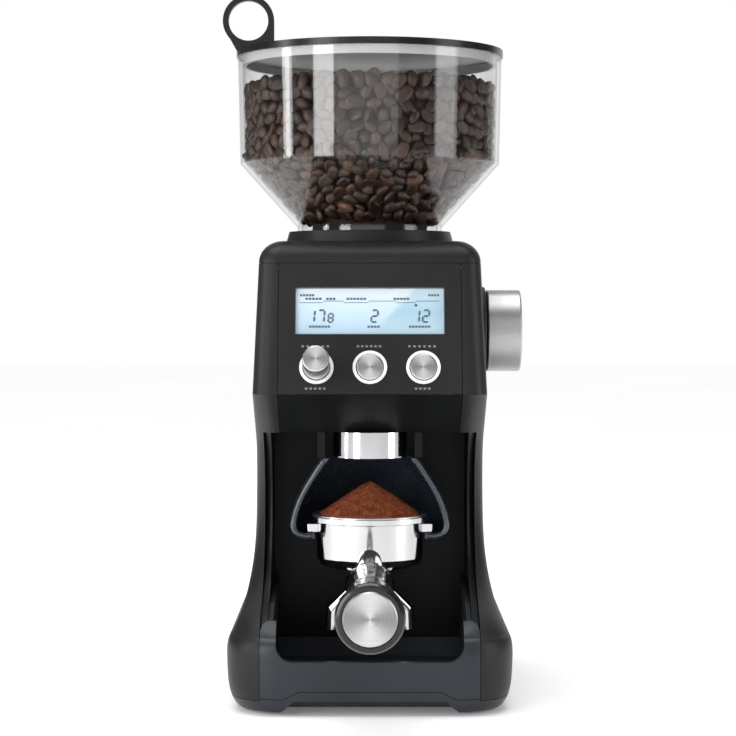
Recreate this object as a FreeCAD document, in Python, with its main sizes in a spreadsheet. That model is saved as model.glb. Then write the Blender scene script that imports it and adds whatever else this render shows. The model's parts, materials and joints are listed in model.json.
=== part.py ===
"""Burr coffee grinder: a parametric FreeCAD document, one STEP file for each physical piece.

Millimetres, +Z up, the front towards -Y. Every piece is drawn about the middle of the base,
and the last step moves the whole grinder back by frame_shift, so that the origin is at the
middle of the whole machine's footprint, with the docked portafilter counted.
"""

import FreeCAD, Part
import math
import os
import Sketcher
from FreeCAD import Placement, Rotation, Vector

os.makedirs("parts", exist_ok=True)
doc = FreeCAD.newDocument("BurrGrinder")
sheet = doc.addObject("Spreadsheet::Sheet", "Sizes")

# Hull sections from the sole up: height, half width, front reach, back reach, corner radius.
HULL_SECTIONS = {
    "sole": (1.5, 70.2, 100, 100, 26.5),
    "heel": (6, 73.6, 103.8, 103.8, 28),
    "skirt": (16, 76, 106.3, 106.3, 29.2),
    "flank": (30, 76.7, 107, 107, 30),
    "shoulder": (36.5, 76.2, 106.4, 107, 29.6),
    "collar": (41, 74.2, 103.2, 106.8, 28.4),
    "instep": (47, 71.4, 97, 106.5, 26),
    "ankle": (60, 67.2, 68, 106, 22),
    "shin": (78, 64.6, 47, 105.6, 20),
    "waist": (100, 63.6, 38, 105.3, 18),
    "throat": (126, 63.2, 40, 104.9, 16),
    "jaw": (148, 62.8, 60, 104.5, 14),
    "chin": (169, 62.4, 95, 104, 10),
    "brow": (239, 60, 73, 102.5, 10),
    "temple": (244.6, 58.6, 70.8, 101, 10),
    "crown": (248.8, 54.8, 66.5, 97.4, 10),
    "summit": (251, 49, 60, 92, 10),
}
DIMENSIONS = {
    "frame_shift": 48,
    "wall": 2.6,
    "seam": 0.3,
    # panel seams and the alcove under the head
    "panel_half": 48.7,
    "alcove_half": 58.2,
    "alcove_back": 2.5,
    "ceiling_z": 147,
    "chin_z": 169,
    "brow_z": 239,
    "top_z": 251,
    # base
    "foot_radius": 9,
    "foot_height": 3,
    "foot_side": 53,
    "foot_reach": 80,
    "plate_top": 6.5,
    "skirt_top": 7.8,
    "lip_top": 13.3,
    "arch_top": 8,
    # hopper and lid
    "neck_radius": 41,
    "hopper_radius": 74.7,
    "hopper_wall": 2.2,
    "cone_bottom_z": 261,
    "cone_top_z": 297,
    "hopper_top_z": 355.7,
    "bean_level_z": 341.5,
    "lid_seat_z": 356,
    "lid_radius": 75.5,
    "loop_radius": 14.4,
    "loop_hole": 11.1,
    "loop_y": -14,
    "loop_thick": 4.4,
    "loop_side": 68,
    "loop_z": 375.4,
    # control panel
    "panel_tilt": 17.45,
    "display_width": 79,
    "display_height": 25.7,
    "display_z": 213.4,
    "button_z": 183.3,
    "button_pitch": 28.3,
    "button_radius": 7.1,
    "ring_radius": 9.1,
    "dose_reach": 17.5,
    # grind dial, on the right side
    "dial_z": 201.5,
    "dial_radius": 23.1,
    "dial_inner_x": 66.2,
    "dial_length": 19.2,
    "bezel_radius": 25,
    # outlet, cradle and portafilter, on one vertical axis
    "outlet_reach": 45,
    "outlet_radius": 20.5,
    "outlet_bottom_z": 133,
    "cradle_top_z": 132.4,
    "cradle_bottom_z": 88.5,
    "cradle_mouth": 31.5,
    "bowl_radius": 29.2,
    "rim_radius": 33,
    "handle_z": 66.4,
    "handle_root": 84,
    # grinding mechanism
    "gear_module": 1,
    "gear_axes": 31,
    "burr_shaft_radius": 4,
    "motor_radius": 30,
    "chamber_radius": 38,
    "deck_under": 149.8,
    "deck_top": 151.8,
    "gearbox_top": 169,
    "trigger_z": 82,
    # tray
    "tray_half": 53.9,
    "tray_lip_z": 29,
    "scoop_half": 49.5,
}
for section, values in HULL_SECTIONS.items():
    for part_name, value in zip(("height", "half", "front", "back", "corner"), values):
        DIMENSIONS[section + "_" + part_name] = value


class Size:
    """A length that knows its value and the sheet expression it comes from."""

    def __init__(self, value, text):
        self.value = float(value)
        self.text = text

    def __add__(self, other):
        other = size_of(other)
        return Size(self.value + other.value, f"({self.text} + {other.text})")

    def __radd__(self, other):
        return size_of(other) + self

    def __sub__(self, other):
        other = size_of(other)
        return Size(self.value - other.value, f"({self.text} - {other.text})")

    def __rsub__(self, other):
        return size_of(other) - self

    def __mul__(self, factor):
        return Size(self.value * factor, f"({self.text} * {factor})")

    __rmul__ = __mul__

    def __neg__(self):
        return self * -1


def size_of(value):
    """A bare number as a length with its own text."""
    return value if isinstance(value, Size) else Size(value, f"({float(value)!r})")


class Sizes:
    """One attribute for each cell of the sheet."""


S = Sizes()
for row, (alias, value) in enumerate(DIMENSIONS.items(), start=1):
    sheet.set(f"A{row}", alias)
    sheet.set(f"B{row}", str(value))
    sheet.setAlias(f"B{row}", alias)
    setattr(S, alias, Size(value, "Sizes." + alias))
doc.recompute()

PIECES = []


def bind(item, prop, value):
    """Sets a length and ties it to the sheet."""
    value = size_of(value)
    if "Sizes." in value.text:
        item.setExpression(prop, value.text)
    elif "." not in prop:
        setattr(item, prop, value.value)


def put(item, at, rotation=None):
    """Places an object, with each sheet-driven coordinate bound."""
    corner = [size_of(c) for c in at]
    item.Placement = Placement(Vector(*[c.value for c in corner]), rotation or Rotation())
    for letter, c in zip("xyz", corner):
        bind(item, "Placement.Base." + letter, c)
    return item


def piece(item, label):
    """Marks an object as a physical piece and gives it its name."""
    item.Label = label
    PIECES.append(item)
    return item


TO_X = Rotation(Vector(0, 0, 1), Vector(1, 0, 0))
TO_Y = Rotation(Vector(0, 0, 1), Vector(0, 1, 0))


def box(x, y, z):
    """A block from three (low, high) pairs."""
    item = doc.addObject("Part::Box", "Block")
    for prop, (low, high) in zip(("Length", "Width", "Height"), (x, y, z)):
        bind(item, prop, size_of(high) - low)
    return put(item, (x[0], y[0], z[0]))


def disc(radius, at, length, rotation=None, angle=360):
    item = doc.addObject("Part::Cylinder", "Round")
    bind(item, "Radius", radius)
    bind(item, "Height", length)
    item.Angle = angle
    return put(item, at, rotation)


def upright(radius, low, high, x=0, y=0):
    """A vertical cylinder between two heights."""
    return disc(radius, (x, y, low), size_of(high) - low)


def cone(low_radius, high_radius, at, length, rotation=None):
    """A cone's frustum that stands on a point."""
    item = doc.addObject("Part::Cone", "Taper")
    bind(item, "Radius1", low_radius)
    bind(item, "Radius2", high_radius)
    bind(item, "Height", length)
    return put(item, at, rotation)


def ball(radius, at):
    """A sphere about a point."""
    item = doc.addObject("Part::Sphere", "Ball")
    bind(item, "Radius", radius)
    return put(item, at)


def rod(radius, start, end):
    """A round bar from one point to another."""
    along = Vector(*end) - Vector(*start)
    return disc(radius, start, along.Length, Rotation(Vector(0, 0, 1), along))


def fuse(*items):
    """One solid from several that touch."""
    item = doc.addObject("Part::MultiFuse", "Joined")
    item.Shapes = list(items)
    return item


def common(*items):
    """What several solids share."""
    item = doc.addObject("Part::MultiCommon", "Shared")
    item.Shapes = list(items)
    return item


def cut(base, *tools):
    """A base without what the tools cover."""
    item = doc.addObject("Part::Cut", "Trimmed")
    item.Base = base
    item.Tool = tools[0] if len(tools) == 1 else fuse(*tools)
    return item


def group(*items):
    """Separate solids that share one node."""
    item = doc.addObject("Part::Compound", "Set")
    item.Links = list(items)
    return item


def tube(outer, inner, low, high, x=0, y=0):
    """A vertical pipe between two heights."""
    return cut(upright(outer, low, high, x, y), upright(inner, size_of(low) - 1, size_of(high) + 1, x, y))


def fillet(base, radius, chosen):
    """Rounds the edges of base that chosen picks by their middle point."""
    doc.recompute()
    item = doc.addObject("Part::Fillet", "Rounded")
    item.Base = base
    edges = []
    for index, edge in enumerate(base.Shape.Edges, start=1):
        middle = edge.valueAt((edge.FirstParameter + edge.LastParameter) / 2)
        if chosen(middle, edge):
            edges.append((index, radius, radius))
    item.Edges = edges
    return item


def fix_point(sketch, geo, point, x, y, label):
    """Ties one vertex of a sketch to the sheet by its distances from the axes."""
    for kind, axis, value in (("DistanceX", -2, size_of(x)), ("DistanceY", -1, size_of(y))):
        if abs(value.value) < 1e-9:
            sketch.addConstraint(Sketcher.Constraint("PointOnObject", geo, point, axis))
            continue
        ends = (-1, 1, geo, point) if value.value > 0 else (geo, point, -1, 1)
        index = sketch.addConstraint(Sketcher.Constraint(kind, *ends, abs(value.value)))
        if "Sizes." in value.text:
            name = f"{label}_{kind[-1]}"
            sketch.renameConstraint(index, name)
            sketch.setExpression("Constraints." + name, (value if value.value > 0 else -value).text)


def outline(sketch, points):
    """Draws a closed outline of straight lines through points, each bound to the sheet."""
    spots = [(size_of(x), size_of(y)) for x, y in points]
    flat = [Vector(x.value, y.value, 0) for x, y in spots]
    for index, start in enumerate(flat):
        sketch.addGeometry(Part.LineSegment(start, flat[(index + 1) % len(flat)]))
    for index in range(len(flat)):
        following = (index + 1) % len(flat)
        sketch.addConstraint(Sketcher.Constraint("Coincident", index, 2, following, 1))
        fix_point(sketch, index, 1, spots[index][0], spots[index][1], f"p{index}")


def body_with_sketch(plane, points):
    """A body that holds one outline on one of its own planes."""
    body = doc.addObject("PartDesign::Body", "Body")
    sketch = body.newObject("Sketcher::SketchObject", "Outline")
    roles = {feature.Role: feature for feature in body.Origin.OriginFeatures}
    sketch.AttachmentSupport = (roles[plane], "")
    sketch.MapMode = "FlatFace"
    outline(sketch, points)
    return body, sketch, roles


def turned(points, at=(0, 0, 0), rotation=None):
    """A body of revolution about its own Z axis, from an outline of (radius, height) points."""
    body, sketch, roles = body_with_sketch("XZ_Plane", points)
    spin = body.newObject("PartDesign::Revolution", "Turn")
    spin.Profile = sketch
    spin.ReferenceAxis = (roles["Z_Axis"], [""])
    spin.Angle = 360
    body.Tip = spin
    return put(body, at, rotation)


def slab(plane, points, length, at=(0, 0, 0)):
    """An outline on one of the body's planes, padded both ways to a total length."""
    body, sketch, _ = body_with_sketch(plane, points)
    pad = body.newObject("PartDesign::Pad", "Pad")
    pad.Profile = sketch
    bind(pad, "Length", length)
    pad.Midplane = True
    body.Tip = pad
    return put(body, at)


def hull_section(name, inset, drop):
    """A rounded rectangle sketch at one height of the hull."""
    sketch = doc.addObject("Sketcher::SketchObject", "Section")
    half = getattr(S, name + "_half") - inset
    front = getattr(S, name + "_front") - inset
    back = getattr(S, name + "_back") - inset
    corner = getattr(S, name + "_corner") - inset
    w, f, b, r = half.value, front.value, back.value, corner.value
    quarter = math.pi / 2
    centres = ((w - r, -f + r), (w - r, b - r), (-w + r, b - r), (-w + r, -f + r))
    for index, (cx, cy) in enumerate(centres):
        circle = Part.Circle(Vector(cx, cy, 0), Vector(0, 0, 1), r)
        sketch.addGeometry(Part.ArcOfCircle(circle, (index - 1) * quarter, index * quarter))
    arcs = [sketch.Geometry[index] for index in range(4)]
    for index in range(4):
        following = arcs[(index + 1) % 4]
        sketch.addGeometry(Part.LineSegment(arcs[index].EndPoint, following.StartPoint))
    for index in range(4):
        line = 4 + index
        sketch.addConstraint(Sketcher.Constraint("Tangent", index, 2, line, 1))
        sketch.addConstraint(Sketcher.Constraint("Tangent", line, 2, (index + 1) % 4, 1))
        sketch.addConstraint(Sketcher.Constraint("Vertical" if index % 2 == 0 else "Horizontal", line))
    for index in range(1, 4):
        sketch.addConstraint(Sketcher.Constraint("Equal", 0, index))
    limits = (
        ("corner", Sketcher.Constraint("Radius", 0, r), corner),
        ("right", Sketcher.Constraint("DistanceX", -1, 1, 4, 1, w), half),
        ("left", Sketcher.Constraint("DistanceX", 6, 1, -1, 1, w), half),
        ("back", Sketcher.Constraint("DistanceY", -1, 1, 5, 1, b), back),
        ("front", Sketcher.Constraint("DistanceY", 7, 1, -1, 1, f), front),
    )
    for label, constraint, value in limits:
        sketch.renameConstraint(sketch.addConstraint(constraint), label)
        sketch.setExpression("Constraints." + label, value.text)
    return put(sketch, (0, 0, getattr(S, name + "_height") - drop))


HULL_RUNS = (
    (("sole", "heel", "skirt", "flank", "shoulder", "collar"), False),
    (("collar", "instep", "ankle", "shin", "waist", "throat", "jaw"), False),
    (("jaw", "chin"), True),
    (("chin", "brow"), True),
    (("brow", "temple", "crown", "summit"), False),
)


def hull(inset):
    """The grinder's outside form, or the same form moved in by inset."""
    sections = {}
    for name in HULL_SECTIONS:
        drop = inset if name in ("crown", "summit") else 0
        sections[name] = hull_section(name, inset, drop)
    runs = []
    for names, ruled in HULL_RUNS:
        loft = doc.addObject("Part::Loft", "Run")
        loft.Sections = [sections[name] for name in names]
        loft.Solid = True
        loft.Ruled = ruled
        runs.append(loft)
    return fuse(*runs)


FAR = 200
skin = cut(hull(0), hull(S.wall))
room = hull(S.wall)


def skin_piece(x, y, z):
    """The part of the hull's wall inside a block."""
    return common(skin, box(x, y, z))


# Places on the tilted control panel: up is measured along it, out along its normal.
TILT = math.radians(DIMENSIONS["panel_tilt"])
PANEL_OUT = Vector(0, -math.cos(TILT), math.sin(TILT))
TO_PANEL = Rotation(Vector(1, 0, 0), 90 - DIMENSIONS["panel_tilt"])


def panel_y(z):
    """Where the panel's outer face lies at a height."""
    rise = DIMENSIONS["brow_z"] - DIMENSIONS["chin_z"]
    slope = (DIMENSIONS["chin_front"] - DIMENSIONS["brow_front"]) / rise
    return -DIMENSIONS["chin_front"] + (z - DIMENSIONS["chin_z"]) * slope


def panel_place(x, z, out):
    """A point at a height on the panel, moved out along its normal."""
    spot = Vector(x, panel_y(z), z) + PANEL_OUT * out
    return (spot.x, spot.y, spot.z)


def panel_disc(radius, x, z, inner, outer):
    """A cylinder that stands on the panel, from inner to outer along the normal."""
    return disc(radius, panel_place(x, z, inner), outer - inner, TO_PANEL)


def panel_block(width, height, z, inner, outer):
    """A block on the panel's middle line, centred on a height."""
    item = doc.addObject("Part::Box", "Plate")
    bind(item, "Length", width)
    bind(item, "Width", height)
    item.Height = outer - inner
    width, height = size_of(width).value, size_of(height).value
    turn = Placement(Vector(*panel_place(0, z, inner)), TO_PANEL)
    item.Placement = turn.multiply(Placement(Vector(-width / 2, -height / 2, 0), Rotation()))
    return item


BUTTON_XS = (-DIMENSIONS["button_pitch"], 0, DIMENSIONS["button_pitch"])
BUTTON_Z = DIMENSIONS["button_z"]
DISPLAY_Z = DIMENSIONS["display_z"]


# --- outside shells -------------------------------------------------------------------

def side_cover(side):
    """The hull's wall on one side, open at the alcove. The right one has the dial's hole."""
    low, high = (S.panel_half + S.seam, FAR) if side > 0 else (-FAR, -(S.panel_half + S.seam))
    shell = skin_piece((low, high), (-FAR, FAR), (S.skirt_top + S.seam, S.brow_z - S.seam))
    alcove = box((-S.alcove_half - 0.1, S.alcove_half + 0.1), (-FAR, 6.5), (-1, S.ceiling_z - S.seam))
    if side > 0:
        hole = disc(S.bezel_radius + 0.2, (40, 0, S.dial_z), 40, TO_X)
        return cut(shell, alcove, hole)
    return cut(shell, alcove)


piece(side_cover(-1), "left_side_cover")
piece(side_cover(1), "right_side_cover")

VENT_ROWS, VENT_PITCH, VENT_HEIGHT, VENT_LOW, VENT_HALF = 12, 6, 2.4, 70, 26
REAR_SCREWS = [(x, z) for x in (-40, 40) for z in (26, 222)]
rear = skin_piece((-S.panel_half, S.panel_half), (60, FAR), (S.skirt_top + S.seam, S.brow_z - S.seam))
rear_vents = []
for row in range(VENT_ROWS):
    sill = VENT_LOW + row * VENT_PITCH
    rear_vents.append(box((-VENT_HALF, VENT_HALF), (90, 120), (sill, sill + VENT_HEIGHT)))
rear_holes = [disc(3.2, (x, 90, z), 30, TO_Y) for x, z in REAR_SCREWS]
GLAND_X, GLAND_Z = 30, 26
gland_hole = disc(7, (GLAND_X, 90, GLAND_Z), 30, TO_Y)
piece(cut(rear, *rear_vents, *rear_holes, gland_hole), "rear_cover")
screws = [fuse(disc(3, (x, 103.4, z), 2.2, TO_Y), disc(1.5, (x, 92, z), 11.6, TO_Y)) for x, z in REAR_SCREWS]
piece(group(*screws), "rear_cover_screws")
gland = fuse(disc(6.8, (GLAND_X, 97, GLAND_Z), 11, TO_Y), disc(9.5, (GLAND_X, 107.1, GLAND_Z), 2.1, TO_Y))
piece(cut(gland, disc(3.6, (GLAND_X, 90, GLAND_Z), 30, TO_Y)), "cord_gland")

top = skin_piece((-FAR, FAR), (-FAR, FAR), (S.brow_z, FAR + S.top_z))
piece(cut(top, upright(44.1, 230, 260)), "top_cover")

fascia = skin_piece((-S.panel_half, S.panel_half), (-FAR, -40), (S.chin_z + 0.2, S.brow_z - S.seam))
fascia_holes = [panel_disc(S.ring_radius + 0.05, x, BUTTON_Z, -8, 8) for x in BUTTON_XS]
display_hole = panel_block(S.display_width + 0.6, S.display_height + 0.6, DISPLAY_Z, -8, 8)
piece(cut(fascia, display_hole, *fascia_holes), "front_fascia")

chin_skin = skin_piece((-S.panel_half, S.panel_half), (-FAR, 0), (S.ceiling_z, S.chin_z))
ceiling_half = S.alcove_half - 0.3
ceiling = common(room, box((-ceiling_half, ceiling_half), (-60, 6.2), (S.ceiling_z, S.ceiling_z + 2.5)))
exit_hole = upright(10, 140, 155, 0, -S.outlet_reach)
HANGER_X, HANGER_HALF = 26.5, 2.1
hangers = []
for side in (-1, 1):
    hanger_x = (side * HANGER_X - HANGER_HALF, side * HANGER_X + HANGER_HALF)
    hangers.append(box(hanger_x, (-57, -46), (S.cradle_top_z + 0.7, S.ceiling_z + 1)))
piece(cut(fuse(chin_skin, ceiling, *hangers), exit_hole), "chin_panel")

liner_block = box((-S.alcove_half + 0.2, S.alcove_half - 0.2), (-100, 6), (S.plate_top, S.ceiling_z - 0.1))
liner_hollow = box((-54.2, 54.2), (-FAR, S.alcove_back), (0, FAR))
trigger_hole = disc(4.4, (0, 0, S.trigger_z), 20, TO_Y)
piece(cut(common(room, liner_block), liner_hollow, trigger_hole), "alcove_liner")

skirt = skin_piece((-FAR, FAR), (-FAR, FAR), (0, S.skirt_top))
LIP_INNER, LIP_OUTER, LIP_END_Z = 37, 45.5, 9
lip_half = S.alcove_half - 0.2
lip_outline = [(-lip_half, 0), (-lip_half, LIP_END_Z), (-LIP_OUTER, LIP_END_Z), (-LIP_INNER, S.lip_top),
               (LIP_INNER, S.lip_top), (LIP_OUTER, LIP_END_Z), (lip_half, LIP_END_Z), (lip_half, 0)]
lip = common(skin, slab("XZ_Plane", lip_outline, 60, (0, -96, 0)))
floor_plate = common(room, box((-FAR, FAR), (-FAR, FAR), (S.foot_height, S.plate_top)))
ARCH_FOOT, ARCH_CROWN = 50, 40
arch_outline = [(-ARCH_FOOT, -1), (-ARCH_CROWN, S.arch_top), (ARCH_CROWN, S.arch_top), (ARCH_FOOT, -1)]
arch = slab("XZ_Plane", arch_outline, 60, (0, -122, 0))
RAIL_NEAR, RAIL_FAR_X = 26, 32
rails = []
for low, high in ((-RAIL_FAR_X, -RAIL_NEAR), (RAIL_NEAR, RAIL_FAR_X)):
    rails.append(box((low, high), (-92, -10), (S.plate_top - 1, S.lip_top + S.seam)))
piece(cut(fuse(floor_plate, skirt, lip, *rails), arch), "base_plate")

feet = []
for side in (-1, 1):
    for end in (-1, 1):
        foot_spot = (side * S.foot_side, end * S.foot_reach, 0)
        feet.append(cone(S.foot_radius - 1, S.foot_radius, foot_spot, S.foot_height))
piece(group(*feet), "rubber_feet")

# --- hopper seat, hopper, lid, beans --------------------------------------------------

piece(
    turned(
        [(47.6, 251), (45.8, 257.5), (42.8, 257.5), (41.4, 255.5), (41.4, 240.4), (22, 227), (22, 225),
         (30, 225), (44, 238), (44, 251)]
    ),
    "hopper_seat",
)
inner_neck = S.neck_radius - S.hopper_wall
inner_hopper = S.hopper_radius - S.hopper_wall
piece(
    turned(
        [(inner_neck, 251.8), (S.neck_radius, 251.8), (S.neck_radius, S.cone_bottom_z - 1),
         (S.hopper_radius - 1.3, S.cone_top_z - 1), (S.hopper_radius, S.hopper_top_z),
         (inner_hopper, S.hopper_top_z), (inner_hopper - 1.3, S.cone_top_z), (inner_neck, S.cone_bottom_z)]
    ),
    "hopper_shell",
)


def wedge(radius, low, high, start, angle):
    """A sector of a vertical cylinder."""
    turn = Rotation(Vector(0, 0, 1), start)
    return disc(radius, (0, 0, low), size_of(high) - low, turn, angle)


def throat_windows(low, high):
    """The two openings that the beans fall through."""
    return [cut(wedge(30, low, high, start, 80), upright(9, low - 1, high + 1)) for start in (5, 185)]


plug = fuse(upright(40.8, 241, 251.6), upright(inner_neck - 0.2, 251, 256))
piece(cut(plug, upright(5.3, 240, 257), *throat_windows(240, 257)), "hopper_base")
gate = cut(upright(33, 237.2, 240.5), *throat_windows(236, 242))
dial_top = fillet(upright(14, 262, 276), 2, lambda p, e: p.z > 275)
piece(fuse(gate, upright(5, 238, 263), dial_top), "hopper_dial")
piece(
    turned(
        [(16, 256.5), (inner_neck - 0.5, 256.5), (inner_neck - 0.5, S.cone_bottom_z + 0.3),
         (inner_hopper - 1.9, S.cone_top_z + 0.3), (inner_hopper - 0.6, S.bean_level_z - 6),
         (50, S.bean_level_z), (0, S.bean_level_z), (0, 278.5), (16, 278.5)]
    ),
    "coffee_beans",
)
LID_SKIRT, LID_EDGE = 72.1, 73.2
lid_skirt_z, lid_face_z = S.lid_seat_z - 4.8, S.lid_seat_z + 2.4
piece(
    turned(
        [(0, S.lid_seat_z), (69.8, S.lid_seat_z), (69.8, lid_skirt_z), (LID_SKIRT, lid_skirt_z),
         (LID_SKIRT, S.lid_seat_z), (LID_EDGE, S.lid_seat_z), (LID_EDGE, lid_face_z), (0, lid_face_z)]
    ),
    "lid_disc",
)
loop_face = (-S.loop_side, S.loop_y - S.loop_thick * 0.5, S.loop_z)
loop_foot = slab(
    "XZ_Plane",
    [(-81.2, 370.5), (-74.6, 358.6), (-53.6, 358.6), (-53.6, 374.5), (-68, 374.5)],
    S.loop_thick,
    (0, S.loop_y, 0),
)
loop = fuse(disc(S.loop_radius, loop_face, S.loop_thick, TO_Y), loop_foot)
band = cut(upright(S.lid_radius, 355.95, 359.6), upright(73.4, 350, 365))
loop_cut = disc(S.loop_hole, (-S.loop_side, -40, S.loop_z), 80, TO_Y)
piece(cut(fuse(band, loop), loop_cut, upright(73.3, 350, 358.5)), "lid_band")

# --- control panel --------------------------------------------------------------------

piece(panel_block(S.display_width, S.display_height, DISPLAY_Z, -1.8, -0.2), "display_window")
piece(panel_block(83, 29, DISPLAY_Z, -8, -2.8), "display_module")
board = panel_block(90, 62, 207, -17, -15.4)
chips = [panel_disc(3.5, x, BUTTON_Z, -15.4, -11.8) for x in BUTTON_XS]
piece(fuse(board, *chips), "control_board")
rings = []
for x in BUTTON_XS:
    rings.append(cut(panel_disc(S.ring_radius, x, BUTTON_Z, -2.4, 0.7), panel_disc(7.45, x, BUTTON_Z, -4, 4)))
piece(group(*rings), "button_rings")


def cap(x, inner, outer):
    """A round button cap with a softened front edge."""
    front = Vector(*panel_place(x, BUTTON_Z, outer))
    blank = panel_disc(S.button_radius, x, BUTTON_Z, inner, outer)
    return fillet(blank, 0.7, lambda p, e: abs((p - front).dot(PANEL_OUT)) < 0.1 and e.Closed)


piece(cap(BUTTON_XS[1], -4.5, 1.4), "cups_button")
piece(cap(BUTTON_XS[2], -4.5, 1.4), "start_button")
piece(cap(BUTTON_XS[0], -3, DIMENSIONS["dose_reach"]), "dose_knob")
piece(panel_disc(2.5, BUTTON_XS[0], BUTTON_Z, -9.8, -3.4), "dose_stem")

# --- grind dial and adjusting ring ----------------------------------------------------

bezel_face = disc(S.bezel_radius, (57, 0, S.dial_z), 8.6, TO_X)
bezel_round = fillet(bezel_face, 1.5, lambda p, e: p.x > 65 and e.Closed)
bezel_neck = disc(10, (49, 0, S.dial_z), 8.5, TO_X)
bezel_bore = fuse(disc(4.4, (40, 0, S.dial_z), 40, TO_X), disc(7, (45, 0, S.dial_z), 11, TO_X))
piece(cut(fuse(bezel_round, bezel_neck), bezel_bore), "dial_bezel")
piece(cut(disc(7, (50, 0, S.dial_z), 5.9, TO_X), disc(4.06, (45, 0, S.dial_z), 20, TO_X)), "dial_bush")
knob = disc(S.dial_radius, (S.dial_inner_x, 0, S.dial_z), S.dial_length, TO_X)
knob_round = fillet(knob, 1.0, lambda p, e: e.Closed)
piece(cut(knob_round, disc(4, (60, 0, S.dial_z), 18, TO_X)), "grind_dial")


def involute_outline(teeth, phase, backlash):
    """Corner points of a spur gear's outline, with involute flanks of 20 degree pressure angle."""
    module = DIMENSIONS["gear_module"]
    pitch = module * teeth / 2
    tip, root = pitch + module, pitch - 1.25 * module
    base = pitch * math.cos(math.radians(20))
    half = (math.pi * module / 2 - backlash) / (2 * pitch)
    pitch_roll = math.tan(math.radians(20)) - math.radians(20)
    flank = []
    steps = 4
    low = max(base, root)
    for step in range(steps + 1):
        radius = low + (tip - low) * step / steps
        roll = math.acos(min(1, base / radius))
        flank.append((radius, half + pitch_roll - (math.tan(roll) - roll)))
    points = []
    for tooth in range(teeth):
        middle = math.radians(phase) + 2 * math.pi * tooth / teeth
        left = [(root, -flank[0][1])] + [(radius, -angle) for radius, angle in flank]
        right = [(radius, angle) for radius, angle in reversed(flank)] + [(root, flank[0][1])]
        for radius, angle in left + right:
            points.append(Vector(radius * math.cos(middle + angle), radius * math.sin(middle + angle), 0))
    return points


def gear_blank(teeth, phase, width, backlash=0.3):
    """A spur gear's solid about the Z axis. An involute outline has no primitive of its own."""
    points = involute_outline(teeth, phase, backlash)
    item = doc.addObject("Part::Feature", "Gear")
    item.Shape = Part.Face(Part.makePolygon(points + points[:1])).extrude(Vector(0, 0, width))
    return item


PINION_TEETH, RING_TEETH = 18, 90
pinion = gear_blank(PINION_TEETH, 0, 4)
pinion.Placement = Placement(Vector(43, 0, DIMENSIONS["dial_z"]), Rotation(Vector(0, 1, 0), 90))
shaft = disc(4, (41.5, 0, S.dial_z), 36, TO_X)
piece(fuse(shaft, pinion), "dial_shaft")

RING_PITCH_Z = DIMENSIONS["dial_z"] + PINION_TEETH / 2
RING_UNDER = RING_PITCH_Z + 1.25
ring_teeth = []
TOOTH_STEP = 360 / RING_TEETH
for count in range(-9, 9):
    # one tooth: a radial rib with sloping flanks, wider at its root
    rib = slab("YZ_Plane", [(-0.28, RING_PITCH_Z - 1), (0.28, RING_PITCH_Z - 1), (1.05, RING_UNDER + 0.3),
                            (-1.05, RING_UNDER + 0.3)], 4)
    angle = (count + 0.5) * TOOTH_STEP
    spoke = Vector(math.cos(math.radians(angle)), math.sin(math.radians(angle)), 0) * 45
    rib.Placement = Placement(spoke, Rotation(Vector(0, 0, 1), angle))
    ring_teeth.append(rib)
ring_body = cut(upright(47.5, RING_UNDER, 218), upright(33.5, 200, 230))
piece(fuse(ring_body, *ring_teeth), "adjust_ring")

# --- grinding chamber, burrs, gear train and motor -------------------------------------

chamber = cut(upright(S.chamber_radius, 169, 209), upright(33, 173.5, 212), upright(7, 160, 180))
piece(cut(chamber, box((-11, 11), (-60, -20), (174.5, 184))), "grind_chamber")
chute = cut(
    box((-14, 14), (-60, -31), (S.ceiling_z + 2.5, 187)),
    box((-12, 12), (-58, -33), (S.ceiling_z, 185)),
    upright(S.chamber_radius + 0.05, 168.9, 200),
)
piece(chute, "exit_chute")
outlet_bore = S.outlet_radius - 2.2
piece(tube(S.outlet_radius, outlet_bore, S.outlet_bottom_z, S.ceiling_z, 0, -S.outlet_reach), "outlet_tube")

piece(
    turned(
        [(24.1, 186), (32.5, 186), (32.5, 219.2), (40, 219.2), (40, 221.4), (21, 221.4), (21, 204.2),
         (24.1, 204.2)]
    ),
    "burr_carrier",
)
upper = turned([(21.2, 188), (24, 188), (24, 204), (14.5, 204)])


def spokes(count, width, reach, low, high):
    """Thin radial blades, for cutting flutes."""
    blades = []
    for n in range(count):
        blade = box((0, reach), (0, width), (low, high))
        blade.Placement = Placement(Vector(0, 0, low), Rotation(Vector(0, 0, 1), 360 * n / count))
        blades.append(blade)
    return blades


piece(cut(upper, cut(fuse(*spokes(24, 0.9, 22, 187, 205)), cone(19.6, 13, (0, 0, 187), 18))), "upper_burr")
lower = turned([(4, 184), (20, 184), (20, 188), (12, 205), (4, 205)])
lower_core = cone(18.2, 10.6, (0, 0, 183.5), 22)
piece(cut(lower, cut(fuse(*spokes(18, 1.1, 22, 186, 206)), lower_core)), "lower_burr")
IMPELLER_RADIUS = 31
paddles = cut(fuse(*spokes(6, 1.8, IMPELLER_RADIUS, 177.4, 183)), upright(22, 170, 190))
impeller = fuse(upright(IMPELLER_RADIUS, 175.5, 177.5), paddles, upright(9, 177, 184))
piece(cut(impeller, upright(S.burr_shaft_radius, 170, 190)), "impeller")
piece(upright(S.burr_shaft_radius, 150.2, 208.4), "burr_shaft")
nut = doc.addObject("Part::Prism", "Hex")
nut.Polygon = 6
nut.Circumradius = 7
nut.Height = 3.2
piece(cut(put(nut, (0, 0, 205)), upright(S.burr_shaft_radius, 200, 210)), "burr_nut")

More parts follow.
